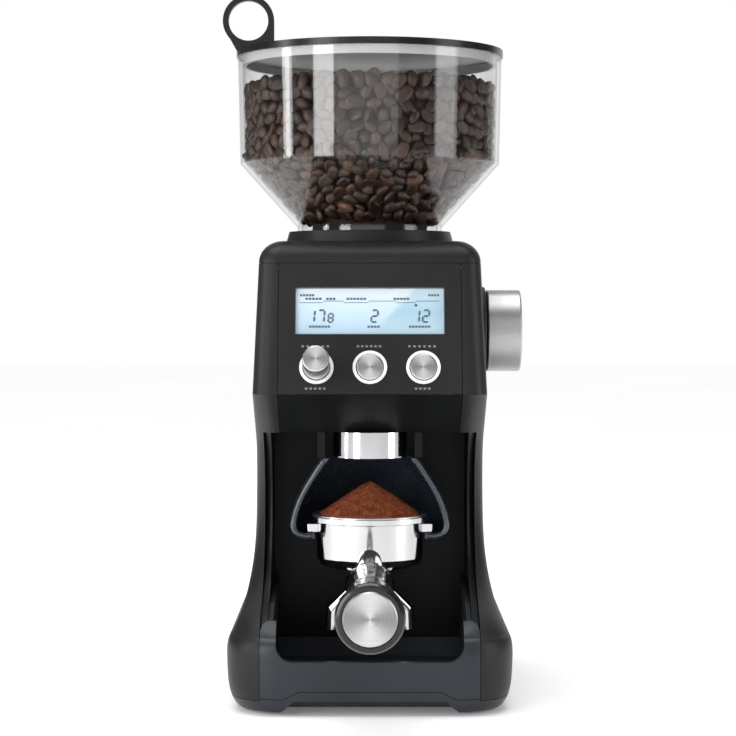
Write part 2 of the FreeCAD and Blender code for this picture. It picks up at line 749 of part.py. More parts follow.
WHEEL_TEETH, DRIVE_TEETH = 48, 14
axis_y = S.gear_axes
wheel_out = gear_blank(WHEEL_TEETH, 90, 6)
wheel_out.Placement = Placement(Vector(0, 0, 152.5), Rotation())
piece(cut(wheel_out, upright(S.burr_shaft_radius, 150, 160)), "output_gear")
small = gear_blank(DRIVE_TEETH, 270 + 180 / DRIVE_TEETH, 8.5)
small.Placement = Placement(Vector(0, axis_y.value, 152.5), Rotation())
large = gear_blank(WHEEL_TEETH, 90 + 180 / WHEEL_TEETH, 5)
large.Placement = Placement(Vector(0, axis_y.value, 161), Rotation())
piece(cut(fuse(small, large), upright(3.05, 150, 170, 0, axis_y)), "intermediate_gear")
piece(upright(3, S.deck_top, 167, 0, axis_y), "intermediate_pin")
motor_y = axis_y * 2
drive = gear_blank(DRIVE_TEETH, 270, 6)
drive.Placement = Placement(Vector(0, motor_y.value, 160.4), Rotation())
rotor = fuse(upright(3, 62.5, 166.6, 0, motor_y), upright(20, 78, 132, 0, motor_y), drive)
piece(rotor, "motor_rotor")
can = cut(
    upright(S.motor_radius, 60, S.deck_under, 0, motor_y),
    upright(S.motor_radius - 2.5, 66, 144, 0, motor_y),
    upright(3.08, 61, 160, 0, motor_y),
)
piece(can, "motor_can")
BUSH_RADIUS, BUSH_BORE = 7, 4.06
low_bush = tube(BUSH_RADIUS, BUSH_BORE, S.deck_top, S.deck_top + 0.5)
high_bush = tube(BUSH_RADIUS, BUSH_BORE, S.gearbox_top, S.gearbox_top + 4.5)
piece(group(low_bush, high_bush), "shaft_bushes")

base_top = cut(
    box((-46, 46), (-27.5, 96), (S.deck_under, S.deck_top)),
    upright(6, 145, 155),
    upright(4, 145, 155, 0, motor_y),
)
piece(base_top, "gearbox_base")
cover = cut(
    box((-35, 35), (-27.5, 74), (S.deck_top, S.gearbox_top)),
    box((-33, 33), (-25.6, 72), (150, 167)),
    upright(6.5, 160, 175),
)
piece(cover, "gearbox_cover")
POST_RADIUS, POST_X, POST_FRONT_Y, POST_BACK_Y = 4.5, 41, 14, 90
posts = []
for side in (-1, 1):
    for y in (POST_FRONT_Y, POST_BACK_Y):
        posts.append(upright(POST_RADIUS, S.plate_top, S.deck_under, side * POST_X, y))
    posts.append(upright(POST_RADIUS, S.deck_top, 232, side * POST_X, POST_BACK_Y))
pilots = [disc(1.55, (x, 91, z), 20, TO_Y) for x, z in REAR_SCREWS]
piece(group(*[cut(post, *pilots) for post in posts]), "chassis_posts")
BOARD_TOP_Z = 15.6
transformer = box((-34, -8), (24, 50), (BOARD_TOP_Z, 42))
capacitor = upright(8, BOARD_TOP_Z, 44, 20, 40)
relay = box((4, 34), (62, 84), (BOARD_TOP_Z, 30))
piece(fuse(box((-36, 36), (18, 94), (14, BOARD_TOP_Z)), transformer, capacitor, relay), "power_board")

# --- trigger, cradle and portafilter ---------------------------------------------------

plunger = fuse(disc(4, (0, -12.5, S.trigger_z), 21, TO_Y), disc(8, (0, 6.8, S.trigger_z), 2, TO_Y))
piece(plunger, "trigger_plunger")

CRADLE_Y = -S.outlet_reach
BELL = [(44, 94.6), (43.9, 98), (42.6, 103.5), (40.3, 110), (37.2, 116.4), (33.6, 122.2), (30.2, 127.6)]
BELL_INSIDE = [(41.5, 95.2), (41.4, 98), (40.2, 102.8), (38, 108.9), (35, 115), (31.5, 120.6), (28.1, 126)]
bell = turned(
    [(0, S.cradle_bottom_z), (37, S.cradle_bottom_z), (40.6, 89.4), (43, 91.6), *BELL, (26.9, S.cradle_top_z),
     (0, S.cradle_top_z)],
    (0, CRADLE_Y, 0),
)
hollow = turned(
    [(0, 91.3), (38.6, 91.3), (40.6, 92.8), *BELL_INSIDE, (24.1, S.cradle_top_z), (24.1, S.cradle_top_z + 2),
     (0, S.cradle_top_z + 2)],
    (0, CRADLE_Y, 0),
)
hook = box((-12, 12), (-30, 2.2), (100, 124))
mouth = upright(S.cradle_mouth, 80, 93, 0, CRADLE_Y)
RIM_Y = CRADLE_Y - 9
RIM_BEAD = 1.5
front_cut = box((-60, 60), (-150, RIM_Y), (80, 140))
hood = cut(fuse(bell, hook), hollow, mouth, front_cut)
RIM_PATH = [(25.4, 130.6), (27.7, 127.3), (31.1, 121.9), (34.8, 115.9), (38, 109.6), (40.4, 103.2),
            (41.7, 97.8), (41.7, 94.8), (40.3, 92), (37.4, 90.4), (32.2, 90.1)]


def rim(side):
    """The rounded bead along one front edge of the hood."""
    path = doc.addObject("Sketcher::SketchObject", "RimPath")
    curve = Part.BSplineCurve()
    curve.interpolate([Vector(side * x, z, 0) for x, z in RIM_PATH])
    path.addGeometry(curve)
    put(path, (0, RIM_Y, 0), Rotation(Vector(1, 0, 0), 90))
    ring = doc.addObject("Sketcher::SketchObject", "RimSection")
    ring.addGeometry(Part.Circle(Vector(0, 0, 0), Vector(0, 0, 1), RIM_BEAD))
    start = curve.value(curve.FirstParameter)
    along = curve.tangent(curve.FirstParameter)[0]
    put(ring, (start.x, RIM_Y, start.y), Rotation(Vector(0, 0, 1), Vector(along.x, 0, along.y)))
    bead = doc.addObject("Part::Sweep", "Bead")
    bead.Sections = [ring]
    bead.Spine = (path, ["Edge1"])
    bead.Solid = True
    bead.Frenet = False
    tip = RIM_PATH[-1]
    return fuse(bead, ball(RIM_BEAD, (side * tip[0], RIM_Y, tip[1])))


piece(fuse(hood, rim(-1), rim(1)), "cradle")

BOWL_BORE = 27
bowl = turned(
    [(0, 72.7), (24, 72.7), (27.6, 74.4), (S.bowl_radius, 78), (S.bowl_radius, 96.9), (S.rim_radius, 98),
     (S.rim_radius, 100.6), (BOWL_BORE, 100.6), (BOWL_BORE, 76), (0, 76)],
    (0, CRADLE_Y, 0),
)
lug = fillet(box((-35.2, 35.2), (CRADLE_Y - 5, CRADLE_Y + 5), (91.8, 96)), 1.7, lambda p, e: abs(p.x) > 35)
ears = cut(lug, upright(28, 80, 110, 0, CRADLE_Y))
piece(cut(fuse(bowl, ears), upright(BOWL_BORE, 76, 110, 0, CRADLE_Y)), "portafilter_bowl")
piece(
    turned(
        [(0, 76.6), (25, 76.6), (26.6, 78), (26.6, 100.7), (31.4, 100.7), (31.4, 101.5), (25.8, 101.5),
         (25.8, 78.4), (0, 77.4)],
        (0, CRADLE_Y, 0),
    ),
    "filter_basket",
)
piece(
    turned(
        [(0, 78.6), (25.2, 79), (25.4, 101.7), (27.6, 101.8), (19, 105), (11, 109.5), (5, 115.5), (1.5, 119.2),
         (0, 119.7)],
        (0, CRADLE_Y, 0),
    ),
    "ground_coffee",
)
TO_FRONT = Rotation(Vector(1, 0, 0), 90)
handle_start = (0, -S.handle_root, S.handle_z)
ferrule = turned(
    [(0, 0), (10.5, 0), (12.9, 1.6), (13.2, 3), (12.7, 4.6), (12.3, 12), (12.1, 30), (12.4, 54), (12.7, 58),
     (12.7, 59), (0, 59)],
    handle_start,
    TO_FRONT,
)
neck_start, neck_end = Vector(0, -69, 81), Vector(0, -90, 67)
neck_line = neck_end - neck_start
neck = cone(5.6, 9.4, tuple(neck_start), neck_line.Length, Rotation(Vector(0, 0, 1), neck_line))
piece(cut(fuse(neck, ferrule), upright(S.bowl_radius, 60, 110, 0, CRADLE_Y)), "handle_neck")
piece(
    turned(
        [(0, 59.1), (12.7, 59.1), (13, 60.6), (12.8, 66), (13, 80), (13.8, 94), (15.3, 106), (16.8, 114),
         (17.2, 117), (17.1, 119.6), (16.3, 121), (15, 121.6), (13.8, 121.6), (13.6, 120.2), (0, 120.2)],
        handle_start,
        TO_FRONT,
    ),
    "handle_grip",
)
piece(
    turned([(0, 120.3), (13.3, 120.3), (13.3, 121.6), (12.5, 122.2), (0, 122.2)], handle_start, TO_FRONT),
    "handle_end_cap",
)
spout_y = CRADLE_Y.value
ARM_RADIUS = 4.2
arms = [upright(7.5, 64, 72.7, 0, CRADLE_Y)]
for side in (-1, 1):
    knee = (side * 20, spout_y, 48)
    arms.append(rod(ARM_RADIUS, (side * 2, spout_y, 66), knee))
    arms.append(ball(ARM_RADIUS, knee))
    arms.append(rod(ARM_RADIUS, knee, (side * 20.6, spout_y, 37.6)))
SPOUT_X = 20.5
gutters = []
for side in (-1, 1):
    gutter_x = (side * SPOUT_X - 2.1, side * SPOUT_X + 2.1)
    gutters.append(box(gutter_x, (spout_y - 2.4, spout_y + 2.4), (36, 46)))
piece(cut(fuse(*arms), *gutters), "spout")

# --- grounds tray ----------------------------------------------------------------------

FRONT_LOW_Z = LIP_END_Z + DIMENSIONS["seam"]
right_side = [(LIP_INNER + 0.1, S.lip_top + S.seam), (LIP_OUTER + 0.1, FRONT_LOW_Z), (lip_half, FRONT_LOW_Z),
              (lip_half, 44.5), (lip_half - 1.4, 47.6), (lip_half - 4.4, 49)]
front_outline = right_side + [(-x, z) for x, z in reversed(right_side)]
tray_front = common(skin, slab("XZ_Plane", front_outline, 60, (0, -96, 0)))
scoop_block = box((-S.scoop_half, S.scoop_half), (-FAR, -60), (S.tray_lip_z, 70))
scoop = fillet(scoop_block, 9, lambda p, e: abs(p.y + 130) < 1 and p.z < 40)
TRAY_WALL = 2.5
tray_low = S.lip_top + S.seam * 2
tray_floor = tray_low + TRAY_WALL
wall_outline = [(-104.5, tray_low), (-104.5, 36), (-96, 46), (-70, 55.5), (-40, 60), (-4, 61), (-4, tray_low)]
well_outline = [(-101.5, tray_floor), (-101.5, 90), (10, 90), (10, 27), (-6.5, 27), (-6.5, tray_floor)]
walls = cut(
    slab("YZ_Plane", wall_outline, S.tray_half * 2),
    slab("YZ_Plane", well_outline, (S.tray_half - TRAY_WALL) * 2),
    box((-60, 60), (-FAR, -101.5), (38, 90)),
)
piece(cut(fuse(tray_front, walls), scoop), "grounds_tray")

# --- check and write --------------------------------------------------------------------

doc.recompute()
faults = [item.Label for item in doc.Objects if {"Invalid", "Error"} & set(item.State)]
if faults:
    raise RuntimeError("failed: " + ", ".join(faults))
move_back = Placement(Vector(0, DIMENSIONS["frame_shift"], 0), Rotation())
for item in PIECES:
    shape = item.Shape
    if shape.isNull() or not shape.isValid() or not shape.Solids:
        raise RuntimeError("bad shape: " + item.Label)
    moved = shape.copy()
    moved.Placement = move_back.multiply(moved.Placement)
    moved.exportStep("parts/" + item.Label + ".step")
    bounds = moved.BoundBox
    print(f"{item.Label:20s} solids {len(shape.Solids)} volume {shape.Volume / 1000:8.2f} cm3 "
          f"x {bounds.XMin:7.1f} {bounds.XMax:6.1f} y {bounds.YMin:7.1f} {bounds.YMax:6.1f} "
          f"z {bounds.ZMin:6.1f} {bounds.ZMax:6.1f}")
print(len(PIECES), "pieces")
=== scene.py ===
"""Looks of the burr coffee grinder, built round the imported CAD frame. Metres, +Z up, front -Y."""
import json
import math
import random

import bpy
from mathutils import Matrix, Vector, noise


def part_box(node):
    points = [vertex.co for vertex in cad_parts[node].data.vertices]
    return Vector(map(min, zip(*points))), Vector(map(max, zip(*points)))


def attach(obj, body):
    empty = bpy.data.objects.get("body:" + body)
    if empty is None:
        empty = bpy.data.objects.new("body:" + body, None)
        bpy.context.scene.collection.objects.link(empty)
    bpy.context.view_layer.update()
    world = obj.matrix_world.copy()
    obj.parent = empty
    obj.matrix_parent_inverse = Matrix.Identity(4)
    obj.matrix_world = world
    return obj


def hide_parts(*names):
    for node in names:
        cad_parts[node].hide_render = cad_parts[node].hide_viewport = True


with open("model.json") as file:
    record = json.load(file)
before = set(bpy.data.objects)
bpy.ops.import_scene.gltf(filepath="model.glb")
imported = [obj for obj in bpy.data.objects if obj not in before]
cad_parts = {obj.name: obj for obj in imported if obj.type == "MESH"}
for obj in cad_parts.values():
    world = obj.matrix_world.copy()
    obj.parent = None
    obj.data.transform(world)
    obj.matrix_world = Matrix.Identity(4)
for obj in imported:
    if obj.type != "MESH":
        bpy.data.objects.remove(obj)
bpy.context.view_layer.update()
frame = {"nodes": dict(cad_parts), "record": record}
nodes = frame["nodes"]
MM = 0.001


def middle(node):
    """The centre of a CAD node's box."""
    low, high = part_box(node)
    return (Vector(low) + Vector(high)) / 2


# --- camera, light and floor ------------------------------------------------------------

hopper_axis = middle("hopper_shell")
CAMERA_REACH = 1.236
CAMERA_HEIGHT = 0.219
CAMERA_PITCH = math.radians(1.8)
CAMERA_SIDE = -0.001
LENS_MM = 106
SENSOR_MM = 36

camera_data = bpy.data.cameras.new("camera")
camera_data.lens = LENS_MM
camera_data.sensor_width = SENSOR_MM
camera = bpy.data.objects.new("camera", camera_data)
camera.location = (CAMERA_SIDE, hopper_axis.y - CAMERA_REACH, CAMERA_HEIGHT)
camera.rotation_euler = (math.pi / 2 - CAMERA_PITCH, 0, 0)
bpy.context.collection.objects.link(camera)
bpy.context.scene.camera = camera


def lamp(name, kind, place, target, energy):
    """A light that points from a place to a target and isn't seen itself."""
    data = bpy.data.lights.new(name, kind)
    data.energy = energy
    made = bpy.data.objects.new(name, data)
    made.location = place
    made.rotation_euler = (Vector(target) - Vector(place)).to_track_quat("-Z", "Y").to_euler()
    made.visible_camera = False
    bpy.context.collection.objects.link(made)
    return data


def softbox(name, place, target, width, height, radiance):
    """A rectangular area light of an even brightness."""
    data = lamp(name, "AREA", place, target, radiance * math.pi * width * height)
    data.shape = "RECTANGLE"
    data.size, data.size_y = width, height


centre = Vector((0, hopper_axis.y, 0.2))
SUN_SOFTNESS = math.radians(55)
lamp("overhead_sun", "SUN", (-0.15, 0.2, 2.2), centre, 2.75).angle = SUN_SOFTNESS
# name, place, width, height, brightness
SOFTBOXES = (
    ("front_panel", (-0.1, -2.0, 0.95), 2.3, 1.5, 0.95),
    ("left_strip", (-1.16, -0.26, 0.42), 0.16, 1.3, 11),
    ("left_cheek_light", (-1.0, -1.15, 0.5), 0.5, 1.0, 7),
    ("right_panel", (1.1, -0.38, 0.42), 0.45, 1.3, 3.5),
    ("back_panel", (0.4, 1.9, 0.8), 2.6, 1.3, 0.9),
)
for box_name, place, width, height, radiance in SOFTBOXES:
    softbox(box_name, place, centre, width, height, radiance)

WORLD_GLOW = 0.14
world = bpy.data.worlds.new("studio")
world.use_nodes = True
sky = world.node_tree
backdrop = sky.nodes["Background"]
backdrop.inputs["Color"].default_value = (1, 1, 1, 1)
fill = sky.nodes.new("ShaderNodeBackground")
fill.inputs["Strength"].default_value = WORLD_GLOW
paths = sky.nodes.new("ShaderNodeLightPath")
chosen = sky.nodes.new("ShaderNodeMixShader")
sky.links.new(paths.outputs["Is Camera Ray"], chosen.inputs[0])
sky.links.new(fill.outputs[0], chosen.inputs[1])
sky.links.new(backdrop.outputs[0], chosen.inputs[2])
sky.links.new(chosen.outputs[0], sky.nodes["World Output"].inputs["Surface"])
bpy.context.scene.world = world
bpy.context.scene.view_settings.view_transform = "Standard"
bpy.context.scene.view_settings.look = "None"


# --- node helpers for materials ---------------------------------------------------------

class Paint:
    """A material and short ways to add nodes to it."""

    def __init__(self, name):
        self.material = bpy.data.materials.new(name)
        self.material.use_nodes = True
        self.tree = self.material.node_tree
        self.shader = self.tree.nodes["Principled BSDF"]
        self.output = self.tree.nodes["Material Output"]
        self.coords = self.tree.nodes.new("ShaderNodeTexCoord").outputs["Object"]

    def node(self, kind, inputs=(), **settings):
        """Adds a shader node, and links or sets its inputs."""
        made = self.tree.nodes.new("ShaderNode" + kind)
        for key, value in settings.items():
            setattr(made, key, value)
        for key, value in dict(inputs).items():
            if hasattr(value, "is_output"):
                self.tree.links.new(value, made.inputs[key])
            else:
                made.inputs[key].default_value = value
        return made

    def set(self, **values):
        """Links or sets sockets of the main shader."""
        for key, value in values.items():
            socket = self.shader.inputs[key.replace("_", " ")]
            if hasattr(value, "is_output"):
                self.tree.links.new(value, socket)
            else:
                socket.default_value = value
        return self

    def stretched(self, scale, turn=(0, 0, 0), shift=(0, 0, 0)):
        """Object coordinates, moved, turned and scaled."""
        moved = self.node("Mapping", {"Vector": self.coords, "Location": shift}, vector_type="POINT")
        return self.node(
            "Mapping", {"Vector": moved.outputs[0], "Rotation": turn, "Scale": scale}, vector_type="POINT"
        ).outputs[0]

    def noise(self, scale, detail=3.0, rough=0.5, vector=None):
        """A noise texture's value."""
        inputs = {"Vector": vector or self.coords, "Scale": scale, "Detail": detail, "Roughness": rough}
        return self.node("TexNoise", inputs).outputs["Fac"]

    def between(self, fac, low, high, start=0.3, end=0.7):
        """Maps a texture's middle range to a range of values."""
        inputs = {"Value": fac, "From Min": start, "From Max": end, "To Min": low, "To Max": high}
        return self.node("MapRange", inputs).outputs[0]

    def ramp(self, fac, stops):
        """Colours a value by (place, colour) stops."""
        made = self.node("ValToRGB", {"Fac": fac})
        band = made.color_ramp
        while len(band.elements) < len(stops):
            band.elements.new(0.5)
        for element, (place, colour) in zip(band.elements, stops):
            element.position = place
            element.color = (*colour, 1)
        return made.outputs[0]

    def bump(self, height, strength, distance, under=None):
        """A normal from a height, on top of another normal if given."""
        inputs = {"Height": height, "Strength": strength, "Distance": distance}
        if under is not None:
            inputs["Normal"] = under
        return self.node("Bump", inputs).outputs[0]


def moulded(name, colour, rough, grain=0.5, pitch=1400, coat=0.0, specular=0.5):
    """Injection-moulded plastic: fine spark-eroded grain, faint sink marks and handling variation."""
    paint = Paint(name)
    cloud = paint.noise(14, 4)
    light = tuple(min(1, c * 1.25 + 0.004) for c in colour)
    dark = tuple(c * 0.85 for c in colour)
    tone = paint.ramp(cloud, [(0.3, dark), (0.7, light)])
    fine = paint.noise(pitch, 2, 0.6)
    broad = paint.noise(55, 2)
    normal = paint.bump(fine, grain * 0.5, 0.00012, paint.bump(broad, 0.05, 0.0006))
    paint.set(Base_Color=tone, Roughness=paint.between(fine, rough - 0.05, rough + 0.07), Normal=normal)
    paint.shader.inputs["Coat Weight"].default_value = coat
    paint.shader.inputs["Coat Roughness"].default_value = 0.08
    paint.shader.inputs["Specular IOR Level"].default_value = specular
    return paint.material


def brushed(name, colour, rough, scale, depth=0.25, turn=(0, 0, 0), shift=(0, 0, 0)):
    """Metal brushed in lines along the axis with the small scale."""
    paint = Paint(name)
    lines = paint.noise(1, 5, 0.7, paint.stretched(scale, turn, shift))
    haze = paint.noise(40, 3)
    low = tuple(c * 0.86 for c in colour)
    tone = paint.ramp(lines, [(0.35, low), (0.65, colour)])
    paint.set(Base_Color=tone, Metallic=1.0)
    line_rough = paint.between(lines, rough - 0.06, rough + 0.08)
    haze_rough = paint.between(haze, -0.02, 0.03)
    mixed = paint.node("Math", {0: line_rough, 1: haze_rough}, operation="ADD").outputs[0]
    paint.set(Roughness=mixed, Normal=paint.bump(lines, depth, 0.00006))
    return paint.material


def spun(name, colour, rough, centre_point, normal, depth=0.3, pitch=2600, anisotropic=0.0):
    """Metal turned on a lathe: fine rings about an axis, and faint fans of painted highlight in its colour.
    """
    paint = Paint(name)
    turn = Vector(normal).rotation_difference(Vector((0, 0, 1))).to_euler()
    shifted = paint.node("Mapping", {"Vector": paint.coords, "Location": tuple(-c for c in centre_point)})
    flat = paint.node("Mapping", {"Vector": shifted.outputs[0], "Rotation": tuple(turn)})
    parts = paint.node("SeparateXYZ", {"Vector": flat.outputs[0]})
    plane = paint.node("CombineXYZ", {"X": parts.outputs["X"], "Y": parts.outputs["Y"]})
    radius = paint.node("VectorMath", {0: plane.outputs[0]}, operation="LENGTH").outputs["Value"]
    reach = paint.node("CombineXYZ", {"X": radius, "Y": parts.outputs["Z"]})
    rings = paint.noise(pitch, 4, 0.75, reach.outputs[0])
    # painted highlight: a bow-tie fan about the axis lightens and darkens the colour, standing in for the
    # spun metal's reflections
    angle = paint.node("Math", {0: parts.outputs["Y"], 1: parts.outputs["X"]}, operation="ARCTAN2").outputs[0]
    doubled = paint.node("Math", {0: angle, 1: 2.0}, operation="MULTIPLY").outputs[0]
    painted_fan_wave = paint.node("Math", {0: doubled}, operation="COSINE").outputs[0]
    painted_fan_highlight = paint.between(painted_fan_wave, 1.0, 0.42, -1, 1)
    low = tuple(c * 0.80 for c in colour)
    tone = paint.ramp(rings, [(0.3, low), (0.7, colour)])
    painted_fan_highlight_grey = paint.node("CombineColor", {"Red": painted_fan_highlight, "Green": painted_fan_highlight, "Blue": painted_fan_highlight}).outputs[0]
    mixed = paint.node("Mix", {"Factor": 1.0, 6: tone, 7: painted_fan_highlight_grey}, data_type="RGBA", blend_type="MULTIPLY")
    paint.set(Base_Color=mixed.outputs[2], Metallic=1.0)
    paint.set(Roughness=paint.between(rings, rough - 0.05, rough + 0.1))
    paint.set(Normal=paint.bump(rings, depth, 0.00005))
    paint.shader.inputs["Anisotropic"].default_value = anisotropic
    return paint.material


def polished(name, colour=(0.86, 0.86, 0.87), rough=0.07):
    """Bright plating with fine wipe marks."""
    paint = Paint(name)
    smears = paint.noise(90, 4, 0.65, paint.stretched((1, 1, 3)))
    dulled = tuple(c * 0.95 for c in colour)
    paint.set(Base_Color=paint.ramp(smears, [(0.3, dulled), (0.7, colour)]), Metallic=1.0)
    paint.set(Roughness=paint.between(smears, rough - 0.02, rough + 0.05))
    paint.set(Normal=paint.bump(paint.noise(120, 2), 0.03, 0.0002))
    return paint.material


def clear(name, tint, rim_tint, gloss_rough=0.04, mirror=0.045):
    """Clear plastic: see-through with a tint, darker where it is seen edge on, under a glossy skin."""
    paint = Paint(name)
    facing = paint.node("LayerWeight", {"Blend": 0.5}).outputs["Facing"]
    wipes = paint.noise(30, 3)
    shade = paint.ramp(facing, [(0.0, tint), (0.72, tint), (1.0, rim_tint)])
    seen = paint.node("BsdfTransparent", {"Color": shade})
    wiped_rough = paint.between(wipes, gloss_rough * 0.6, gloss_rough * 1.6)
    gloss = paint.node("BsdfGlossy", {"Roughness": wiped_rough})
    steep = paint.node("Math", {0: facing, 1: 4.5}, operation="POWER").outputs[0]
    share = paint.between(steep, mirror, 0.5, 0.0, 1.0)
    skin = paint.node("MixShader", {0: share, 1: seen.outputs[0], 2: gloss.outputs[0]})
    paint.tree.links.new(skin.outputs[0], paint.output.inputs["Surface"])
    paint.tree.nodes.remove(paint.shader)
    return paint.material


# --- materials for the CAD nodes --------------------------------------------------------

PANEL_TILT = math.radians(17.45)
PANEL_OUT = Vector((0, -math.cos(PANEL_TILT), math.sin(PANEL_TILT)))
PANEL_UP = Vector((0, math.sin(PANEL_TILT), math.cos(PANEL_TILT)))
HANDLE_AXIS = Vector((0, -1, 0))

slots = {
    "black_housing": moulded("satin_black", (0.0095, 0.0093, 0.0097), 0.42, 0.5, specular=0.24),
    # inner_black is darker and less glossy than the housing's black: painted shade for the recessed alcove,
    # on top of its own black plastic
    "inner_black": moulded("inner_black", (0.0035, 0.004, 0.0045), 0.34, 0.3, specular=0.14),
    "tray_grey": moulded("tray_grey", (0.019, 0.0225, 0.028), 0.36, 0.3, specular=0.27),
    "cradle_black": moulded("cradle_black", (0.022, 0.029, 0.04), 0.24, 0.08, coat=0.5),
    "grip_black": moulded("grip_black", (0.006, 0.006, 0.0065), 0.24, 0.12, coat=0.3, specular=0.3),
    "lid_black": moulded("lid_black", (0.006, 0.006, 0.0065), 0.25, 0.1, specular=0.3),
    "rubber": moulded("rubber", (0.010, 0.010, 0.010), 0.75, 0.9, 700),
    "gland_black": moulded("gland_black", (0.010, 0.010, 0.010), 0.6, 0.6, 900),
    "circuit_board": moulded("circuit_board", (0.01, 0.09, 0.035), 0.4, 0.3),
    "gear_nylon": moulded("gear_nylon", (0.62, 0.60, 0.53), 0.45, 0.3),
    "white_ring": moulded("white_ring", (0.80, 0.80, 0.81), 0.25, 0.1),
    "display_panel": moulded("display_panel", (0.45, 0.6, 0.7), 0.5, 0.2),
    "smoked_clear": clear("smoked_clear", (0.95, 0.95, 0.952), (0.70, 0.70, 0.71)),
    "lid_smoke": moulded("lid_smoke", (0.50, 0.50, 0.49), 0.35, 0.2),
    "display": clear("display_glass", (0.98, 0.98, 0.98), (0.8, 0.8, 0.8), 0.05),
    "chrome": polished("chrome", (0.56, 0.56, 0.57), 0.09),
    "steel": brushed("machined_steel", (0.55, 0.55, 0.56), 0.28, (60, 60, 2200)),
    "brass": brushed("brass", (0.72, 0.5, 0.22), 0.25, (60, 60, 2200)),
    "aluminium": brushed("brushed_aluminium", (0.45, 0.45, 0.455), 0.38, (2400, 30, 30), 0.35),
    "brushed_steel": polished("button_steel", (0.7, 0.7, 0.7), 0.25),
    "coffee_bean": moulded("bean_core", (0.02, 0.011, 0.007), 0.7, 0.9, 300),
    "ground_coffee": moulded("ground_base", (0.12, 0.04, 0.018), 0.95, 0.9, 900),
}
node_slot = {entry["node"]: entry["material_slot"] for entry in frame["record"]["subparts"]}


def dress(node, material):
    """Gives a CAD node one material."""
    mesh = nodes[node].data
    mesh.materials.clear()
    mesh.materials.append(material)


for node, slot_name in node_slot.items():
    dress(node, slots[slot_name])
for name in ("cups_button", "start_button", "dose_knob"):
    dress(name, spun("spun_" + name, (0.74, 0.74, 0.74), 0.25, middle(name), PANEL_OUT))
dress("handle_end_cap", spun("spun_end_cap", (0.66, 0.66, 0.66), 0.26, middle("handle_end_cap"), HANDLE_AXIS))


def new_piece(name, verts, faces, material, body, slot_name, smooth=True):
    """Makes a mesh piece that rides on a body and carries one material; slot_name is not used."""
    mesh = bpy.data.meshes.new(name)
    mesh.from_pydata([tuple(v) for v in verts], [], faces)
    mesh.validate()
    mesh.update()
    mesh.materials.append(material)
    if smooth:
        mesh.polygons.foreach_set("use_smooth", [True] * len(mesh.polygons))
    made = bpy.data.objects.new(name, mesh)
    bpy.context.collection.objects.link(made)
    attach(made, body)
    return made


# --- floor --------------------------------------------------------------------------------

floor_mesh = bpy.data.meshes.new("floor")
FLOOR = 6.0
floor_mesh.from_pydata(
    [(-FLOOR, -FLOOR, 0), (FLOOR, -FLOOR, 0), (FLOOR, FLOOR, 0), (-FLOOR, FLOOR, 0)], [], [(0, 1, 2, 3)]
)
floor = bpy.data.objects.new("floor", floor_mesh)
bpy.context.collection.objects.link(floor)
floor_paint = Paint("pale_floor")
floor_tone = floor_paint.ramp(floor_paint.noise(3, 2), [(0.3, (0.925,) * 3), (0.7, (0.95,) * 3)])
floor_paint.set(Base_Color=floor_tone, Roughness=0.6)
floor_paint.shader.inputs["Specular IOR Level"].default_value = 0.1
floor_paint.shader.inputs["Emission Color"].default_value = (1, 1, 1, 1)
floor_paint.shader.inputs["Emission Strength"].default_value = 0.12
floor_mesh.materials.append(floor_paint.material)


# --- coffee beans ---------------------------------------------------------------------------

def bean_shape(length, width, height, around=10, along=7):
    """One bean: a domed back, a flat face and a crease along it. Long axis X, back towards +Z."""
    verts = []
    for i in range(1, along):
        lon = math.pi * i / along
        x = -math.cos(lon) * length / 2
        girth = math.sin(lon) ** 0.85
        for j in range(around):
            turn = 2 * math.pi * j / around
            y = math.cos(turn) * width / 2 * girth
            z = math.sin(turn) * height * 0.62 * girth
            if math.sin(turn) < -0.01:
                z *= 0.5
                z += 0.16 * height * girth * max(0, -math.sin(turn)) ** 6
            verts.append((x, y, z))
    rings = along - 1
    faces = []
    for i in range(rings - 1):
        for j in range(around):
            k = (j + 1) % around
            faces.append((i * around + j, i * around + k, (i + 1) * around + k, (i + 1) * around + j))
    verts += [(-length / 2, 0, 0.05 * height), (length / 2, 0, 0.05 * height)]
    first, last = len(verts) - 2, len(verts) - 1
    for j in range(around):
        k = (j + 1) % around
        faces.append((first, k, j))
        faces.append((last, (rings - 1) * around + j, (rings - 1) * around + k))
    return [Vector(v) for v in verts], faces


def bean_material():
    """Roasted skin, lighter or darker by each bean's roast."""
    paint = Paint("roasted_bean")
    tone = paint.node("Attribute", attribute_name="roast").outputs["Fac"]
    roasts = [(0.0, (0.016, 0.008, 0.0045)), (0.55, (0.05, 0.022, 0.011)), (1.0, (0.15, 0.068, 0.028))]
    base = paint.ramp(tone, roasts)
    mottle = paint.noise(500, 4)
    mixed = paint.node("Mix", {"Factor": paint.between(mottle, 0, 0.5), 6: base, 7: (0.008, 0.004, 0.003, 1)},
                       data_type="RGBA")
    paint.set(Base_Color=mixed.outputs[2], Roughness=paint.between(mottle, 0.3, 0.5))
    paint.set(Normal=paint.bump(paint.noise(700, 3), 0.35, 0.0003))
    return paint.material


rng = random.Random(7)
HOPPER_TOP_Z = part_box("hopper_shell")[1][2]
BEAN_TOP_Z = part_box("coffee_beans")[1][2]
CONE_TOP_Z = 0.297
CONE_LOW_Z = 0.261
CONE_IN = 0.0711
NECK_IN = 0.0386
WALL_LEAN = 0.0013


def wall_radius(z):
    """The hopper's inside radius at a height."""
    if z >= CONE_TOP_Z:
        return CONE_IN + (z - CONE_TOP_Z) / (HOPPER_TOP_Z - CONE_TOP_Z) * WALL_LEAN
    if z <= CONE_LOW_Z:
        return NECK_IN
    return NECK_IN + (z - CONE_LOW_Z) / (CONE_TOP_Z - CONE_LOW_Z) * (CONE_IN - NECK_IN)


bean_verts, bean_faces, bean_tones = [], [], []


